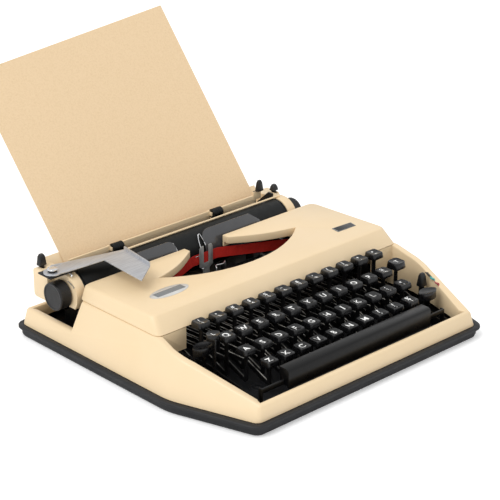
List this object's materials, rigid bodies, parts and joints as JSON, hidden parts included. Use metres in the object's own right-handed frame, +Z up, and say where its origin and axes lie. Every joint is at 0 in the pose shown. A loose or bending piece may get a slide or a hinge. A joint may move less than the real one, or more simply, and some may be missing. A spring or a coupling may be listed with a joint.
{
  "type": "manual typewriter",
  "caption": "Portable manual typewriter with a keyboard, a hinged ribbon cover, a sliding carriage with turning platen and return lever, and a sheet standing in it.",
  "frame": {"origin": "centre of the tray's flat underside, on the ground", "axes": "+Z up, +X to the typist's right, +Y to the back, away from the typist"},
  "size_m": [0.327, 0.3834, 0.233],
  "materials": {
    "beige_enamel": "satin enamel",
    "black_tray": "fine matt grain",
    "key_black": "glossy",
    "dark_steel": "blackened",
    "platen_rubber": "fine ground",
    "knob_black": "satin",
    "lever_metal": "brushed",
    "smoky_plastic": "smoky",
    "red_ribbon": "inked cloth",
    "kraft": "mottled, uncoated"
  },
  "bodies": {
    "casing": {"base_pan": "black_tray", "body_shell": "beige_enamel", "chassis_frame": "dark_steel", "type_segment": "dark_steel", "ribbon": "red_ribbon", "card_holder": "smoky_plastic"},
    "cover": {"ribbon_cover": "beige_enamel"},
    "carriage": {"carriage_frame": "dark_steel", "carriage_cover": "beige_enamel"},
    "platen_roll": {"platen": "platen_rubber", "platen_knob_left": "knob_black", "platen_knob_right": "knob_black"},
    "bail": {"paper_bail": "beige_enamel"},
    "roller_left": {"bail_roller_left": "platen_rubber"},
    "roller_right": {"bail_roller_right": "platen_rubber"},
    "line_lever": {"return_lever": "lever_metal"},
    "paper_release": {"paper_release_lever": "knob_black"},
    "carriage_release": {"carriage_release_lever": "knob_black"},
    "sheet": {"paper_sheet": "kraft"},
    "space": {"space_bar": "key_black"},
    "shift": {"shift_bar": "key_black"},
    "lock": {"shift_lock": "key_black"},
    "tab": {"tab_key": "key_black"},
    "selector": {"ribbon_selector": "knob_black"},
    "spool_left": {"ribbon_spool_left": "dark_steel"},
    "spool_right": {"ribbon_spool_right": "dark_steel"},
    "vibrator": {"ribbon_vibrator": "dark_steel"},
    "striker": {"type_bar": "dark_steel"},
    "figures": {"figure_keys": "key_black"},
    "key_q_lever": {"key_q": "key_black"},
    "key_w_lever": {"key_w": "key_black"},
    "key_e_lever": {"key_e": "key_black"},
    "key_r_lever": {"key_r": "key_black"},
    "key_t_lever": {"key_t": "key_black"},
    "key_y_lever": {"key_y": "key_black"},
    "key_u_lever": {"key_u": "key_black"},
    "key_i_lever": {"key_i": "key_black"},
    "key_o_lever": {"key_o": "key_black"},
    "key_p_lever": {"key_p": "key_black"},
    "key_a_lever": {"key_a": "key_black"},
    "key_s_lever": {"key_s": "key_black"},
    "key_d_lever": {"key_d": "key_black"},
    "key_f_lever": {"key_f": "key_black"},
    "key_g_lever": {"key_g": "key_black"},
    "key_h_lever": {"key_h": "key_black"},
    "key_j_lever": {"key_j": "key_black"},
    "key_k_lever": {"key_k": "key_black"},
    "key_l_lever": {"key_l": "key_black"},
    "key_semicolon_lever": {"key_semicolon": "key_black"},
    "key_quote_lever": {"key_quote": "key_black"},
    "key_z_lever": {"key_z": "key_black"},
    "key_x_lever": {"key_x": "key_black"},
    "key_c_lever": {"key_c": "key_black"},
    "key_v_lever": {"key_v": "key_black"},
    "key_b_lever": {"key_b": "key_black"},
    "key_n_lever": {"key_n": "key_black"},
    "key_m_lever": {"key_m": "key_black"},
    "key_comma_lever": {"key_comma": "key_black"},
    "key_period_lever": {"key_period": "key_black"},
    "key_slash_lever": {"key_slash": "key_black"}
  },
  "joints": [
    {"name": "carriage_slide", "type": "slide", "parent": "casing", "child": "carriage", "axis": [1, 0, 0], "range_m": [-0.085, 0.105]},
    {"name": "return_lever_swing", "type": "hinge", "parent": "carriage", "child": "line_lever", "pos_m": [-0.1544, 0.0947, 0.0735], "axis": [0, 0, 1], "range_deg": [-55, 12]},
    {"name": "ribbon_cover_lift", "type": "hinge", "parent": "casing", "child": "cover", "pos_m": [0, 0.0726, 0.0604], "axis": [1, 0, 0], "range_deg": [-8, 0]},
    {"name": "paper_bail_swing", "type": "hinge", "parent": "carriage", "child": "bail", "pos_m": [-0.01, 0.1165, 0.058], "axis": [1, 0, 0], "range_deg": [-40, 0]},
    {"name": "paper_sheet_draw", "type": "slide", "parent": "carriage", "child": "sheet", "axis": [-0.0854, 0.5528, 0.8289], "range_m": [0, 0.12]},
    {"name": "paper_release_tilt", "type": "hinge", "parent": "carriage", "child": "paper_release", "pos_m": [-0.1445, 0.1235, 0.057], "axis": [1, 0, 0], "range_deg": [0, 10]},
    {"name": "carriage_release_tilt", "type": "hinge", "parent": "carriage", "child": "carriage_release", "pos_m": [0.1275, 0.1132, 0.057], "axis": [1, 0, 0], "range_deg": [0, 10], "stiffness_Nm_per_rad": 0.05, "springref_deg": -5.73},
    {"name": "space_bar_press", "type": "hinge", "parent": "casing", "child": "space", "pos_m": [0, 0.058, 0.02], "axis": [1, 0, 0], "range_deg": [0, 1.9], "stiffness_Nm_per_rad": 4, "springref_deg": -1.72},
    {"name": "shift_press", "type": "hinge", "parent": "casing", "child": "shift", "pos_m": [0, 0.058, 0.02], "axis": [1, 0, 0], "range_deg": [0, 2.5], "stiffness_Nm_per_rad": 4, "springref_deg": -1.72},
    {"name": "shift_lock_press", "type": "hinge", "parent": "casing", "child": "lock", "pos_m": [0, 0.058, 0.02], "axis": [1, 0, 0], "range_deg": [0, 1.8], "stiffness_Nm_per_rad": 1.5, "springref_deg": -1.15},
    {"name": "tab_press", "type": "hinge", "parent": "casing", "child": "tab", "pos_m": [0, 0.058, 0.02], "axis": [1, 0, 0], "range_deg": [0, 2.3], "stiffness_Nm_per_rad": 1.5, "springref_deg": -1.15},
    {"name": "figure_keys_press", "type": "hinge", "parent": "casing", "child": "figures", "pos_m": [0, 0.058, 0.02], "axis": [1, 0, 0], "range_deg": [0, 4.6], "stiffness_Nm_per_rad": 4, "springref_deg": -2.29},
    {"name": "ribbon_selector_tilt", "type": "hinge", "parent": "casing", "child": "selector", "pos_m": [0.127, -0.08, 0.008], "axis": [1, 0, 0], "range_deg": [-8, 8]},
    {"name": "platen_turn", "type": "hinge", "parent": "carriage", "child": "platen_roll", "pos_m": [-0.01, 0.0945, 0.051], "axis": [1, 0, 0], "continuous": true},
    {"name": "bail_roller_left_turn", "type": "hinge", "parent": "bail", "child": "roller_left", "pos_m": [-0.07, 0.1105, 0.068], "axis": [1, 0, 0], "continuous": true},
    {"name": "bail_roller_right_turn", "type": "hinge", "parent": "bail", "child": "roller_right", "pos_m": [0.05, 0.1105, 0.068], "axis": [1, 0, 0], "continuous": true},
    {"name": "ribbon_spool_left_turn", "type": "hinge", "parent": "casing", "child": "spool_left", "pos_m": [-0.1, 0.026, 0.0363], "axis": [0, 0, 1], "continuous": true},
    {"name": "ribbon_spool_right_turn", "type": "hinge", "parent": "casing", "child": "spool_right", "pos_m": [0.1, 0.026, 0.0363], "axis": [0, 0, 1], "continuous": true},
    {"name": "type_bar_swing", "type": "hinge", "parent": "casing", "child": "striker", "pos_m": [0, 0.043, 0.034], "axis": [1, 0, 0], "range_deg": [-132, 0]},
    {"name": "ribbon_vibrator_lift", "type": "slide", "parent": "casing", "child": "vibrator", "axis": [0, 0, 1], "range_m": [0, 0.006]},
    {"name": "key_q_press", "type": "hinge", "parent": "casing", "child": "key_q_lever", "pos_m": [-0.0953, 0.058, 0.02], "axis": [1, 0, 0], "range_deg": [0, 4.06], "stiffness_Nm_per_rad": 1.2, "springref_deg": -1.15},
    {"name": "key_w_press", "type": "hinge", "parent": "casing", "child": "key_w_lever", "pos_m": [-0.07625, 0.058, 0.02], "axis": [1, 0, 0], "range_deg": [0, 4.06], "stiffness_Nm_per_rad": 1.2, "springref_deg": -1.15},
    {"name": "key_e_press", "type": "hinge", "parent": "casing", "child": "key_e_lever", "pos_m": [-0.0572, 0.058, 0.02], "axis": [1, 0, 0], "range_deg": [0, 4.06], "stiffness_Nm_per_rad": 1.2, "springref_deg": -1.15},
    {"name": "key_r_press", "type": "hinge", "parent": "casing", "child": "key_r_lever", "pos_m": [-0.03815, 0.058, 0.02], "axis": [1, 0, 0], "range_deg": [0, 4.06], "stiffness_Nm_per_rad": 1.2, "springref_deg": -1.15},
    {"name": "key_t_press", "type": "hinge", "parent": "casing", "child": "key_t_lever", "pos_m": [-0.0191, 0.058, 0.02], "axis": [1, 0, 0], "range_deg": [0, 4.06], "stiffness_Nm_per_rad": 1.2, "springref_deg": -1.15},
    {"name": "key_y_press", "type": "hinge", "parent": "casing", "child": "key_y_lever", "pos_m": [-0.00005, 0.058, 0.02], "axis": [1, 0, 0], "range_deg": [0, 4.06], "stiffness_Nm_per_rad": 1.2, "springref_deg": -1.15},
    {"name": "key_u_press", "type": "hinge", "parent": "casing", "child": "key_u_lever", "pos_m": [0.019, 0.058, 0.02], "axis": [1, 0, 0], "range_deg": [0, 4.06], "stiffness_Nm_per_rad": 1.2, "springref_deg": -1.15},
    {"name": "key_i_press", "type": "hinge", "parent": "casing", "child": "key_i_lever", "pos_m": [0.03805, 0.058, 0.02], "axis": [1, 0, 0], "range_deg": [0, 4.06], "stiffness_Nm_per_rad": 1.2, "springref_deg": -1.15},
    {"name": "key_o_press", "type": "hinge", "parent": "casing", "child": "key_o_lever", "pos_m": [0.0571, 0.058, 0.02], "axis": [1, 0, 0], "range_deg": [0, 4.06], "stiffness_Nm_per_rad": 1.2, "springref_deg": -1.15},
    {"name": "key_p_press", "type": "hinge", "parent": "casing", "child": "key_p_lever", "pos_m": [0.07615, 0.058, 0.02], "axis": [1, 0, 0], "range_deg": [0, 4.06], "stiffness_Nm_per_rad": 1.2, "springref_deg": -1.15},
    {"name": "key_a_press", "type": "hinge", "parent": "casing", "child": "key_a_lever", "pos_m": [-0.0906, 0.058, 0.02], "axis": [1, 0, 0], "range_deg": [0, 3.51], "stiffness_Nm_per_rad": 1.2, "springref_deg": -1.15},
    {"name": "key_s_press", "type": "hinge", "parent": "casing", "child": "key_s_lever", "pos_m": [-0.07155, 0.058, 0.02], "axis": [1, 0, 0], "range_deg": [0, 3.51], "stiffness_Nm_per_rad": 1.2, "springref_deg": -1.15},
    {"name": "key_d_press", "type": "hinge", "parent": "casing", "child": "key_d_lever", "pos_m": [-0.0525, 0.058, 0.02], "axis": [1, 0, 0], "range_deg": [0, 3.51], "stiffness_Nm_per_rad": 1.2, "springref_deg": -1.15},
    {"name": "key_f_press", "type": "hinge", "parent": "casing", "child": "key_f_lever", "pos_m": [-0.03345, 0.058, 0.02], "axis": [1, 0, 0], "range_deg": [0, 3.51], "stiffness_Nm_per_rad": 1.2, "springref_deg": -1.15},
    {"name": "key_g_press", "type": "hinge", "parent": "casing", "child": "key_g_lever", "pos_m": [-0.0144, 0.058, 0.02], "axis": [1, 0, 0], "range_deg": [0, 3.51], "stiffness_Nm_per_rad": 1.2, "springref_deg": -1.15},
    {"name": "key_h_press", "type": "hinge", "parent": "casing", "child": "key_h_lever", "pos_m": [0.00465, 0.058, 0.02], "axis": [1, 0, 0], "range_deg": [0, 3.51], "stiffness_Nm_per_rad": 1.2, "springref_deg": -1.15},
    {"name": "key_j_press", "type": "hinge", "parent": "casing", "child": "key_j_lever", "pos_m": [0.0237, 0.058, 0.02], "axis": [1, 0, 0], "range_deg": [0, 3.51], "stiffness_Nm_per_rad": 1.2, "springref_deg": -1.15},
    {"name": "key_k_press", "type": "hinge", "parent": "casing", "child": "key_k_lever", "pos_m": [0.04275, 0.058, 0.02], "axis": [1, 0, 0], "range_deg": [0, 3.51], "stiffness_Nm_per_rad": 1.2, "springref_deg": -1.15},
    {"name": "key_l_press", "type": "hinge", "parent": "casing", "child": "key_l_lever", "pos_m": [0.0618, 0.058, 0.02], "axis": [1, 0, 0], "range_deg": [0, 3.51], "stiffness_Nm_per_rad": 1.2, "springref_deg": -1.15},
    {"name": "key_semicolon_press", "type": "hinge", "parent": "casing", "child": "key_semicolon_lever", "pos_m": [0.08085, 0.058, 0.02], "axis": [1, 0, 0], "range_deg": [0, 3.51], "stiffness_Nm_per_rad": 1.2, "springref_deg": -1.15},
    {"name": "key_quote_press", "type": "hinge", "parent": "casing", "child": "key_quote_lever", "pos_m": [0.0999, 0.058, 0.02], "axis": [1, 0, 0], "range_deg": [0, 3.51], "stiffness_Nm_per_rad": 1.2, "springref_deg": -1.15},
    {"name": "key_z_press", "type": "hinge", "parent": "casing", "child": "key_z_lever", "pos_m": [-0.0812, 0.058, 0.02], "axis": [1, 0, 0], "range_deg": [0, 3.11], "stiffness_Nm_per_rad": 1.2, "springref_deg": -1.15},
    {"name": "key_x_press", "type": "hinge", "parent": "casing", "child": "key_x_lever", "pos_m": [-0.06215, 0.058, 0.02], "axis": [1, 0, 0], "range_deg": [0, 3.11], "stiffness_Nm_per_rad": 1.2, "springref_deg": -1.15},
    {"name": "key_c_press", "type": "hinge", "parent": "casing", "child": "key_c_lever", "pos_m": [-0.0431, 0.058, 0.02], "axis": [1, 0, 0], "range_deg": [0, 3.11], "stiffness_Nm_per_rad": 1.2, "springref_deg": -1.15},
    {"name": "key_v_press", "type": "hinge", "parent": "casing", "child": "key_v_lever", "pos_m": [-0.02405, 0.058, 0.02], "axis": [1, 0, 0], "range_deg": [0, 3.11], "stiffness_Nm_per_rad": 1.2, "springref_deg": -1.15},
    {"name": "key_b_press", "type": "hinge", "parent": "casing", "child": "key_b_lever", "pos_m": [-0.005, 0.058, 0.02], "axis": [1, 0, 0], "range_deg": [0, 3.11], "stiffness_Nm_per_rad": 1.2, "springref_deg": -1.15},
    {"name": "key_n_press", "type": "hinge", "parent": "casing", "child": "key_n_lever", "pos_m": [0.01405, 0.058, 0.02], "axis": [1, 0, 0], "range_deg": [0, 3.11], "stiffness_Nm_per_rad": 1.2, "springref_deg": -1.15},
    {"name": "key_m_press", "type": "hinge", "parent": "casing", "child": "key_m_lever", "pos_m": [0.0331, 0.058, 0.02], "axis": [1, 0, 0], "range_deg": [0, 3.11], "stiffness_Nm_per_rad": 1.2, "springref_deg": -1.15},
    {"name": "key_comma_press", "type": "hinge", "parent": "casing", "child": "key_comma_lever", "pos_m": [0.05215, 0.058, 0.02], "axis": [1, 0, 0], "range_deg": [0, 3.11], "stiffness_Nm_per_rad": 1.2, "springref_deg": -1.15},
    {"name": "key_period_press", "type": "hinge", "parent": "casing", "child": "key_period_lever", "pos_m": [0.0712, 0.058, 0.02], "axis": [1, 0, 0], "range_deg": [0, 3.11], "stiffness_Nm_per_rad": 1.2, "springref_deg": -1.15},
    {"name": "key_slash_press", "type": "hinge", "parent": "casing", "child": "key_slash_lever", "pos_m": [0.09025, 0.058, 0.02], "axis": [1, 0, 0], "range_deg": [0, 3.11], "stiffness_Nm_per_rad": 1.2, "springref_deg": -1.15}
  ],
  "couplings": [
    {"joint": "type_bar_swing", "follows": "key_h_press", "ratio": -37.578},
    {"joint": "ribbon_vibrator_lift", "follows": "key_h_press", "m_per_rad": 0.09778}
  ]
}
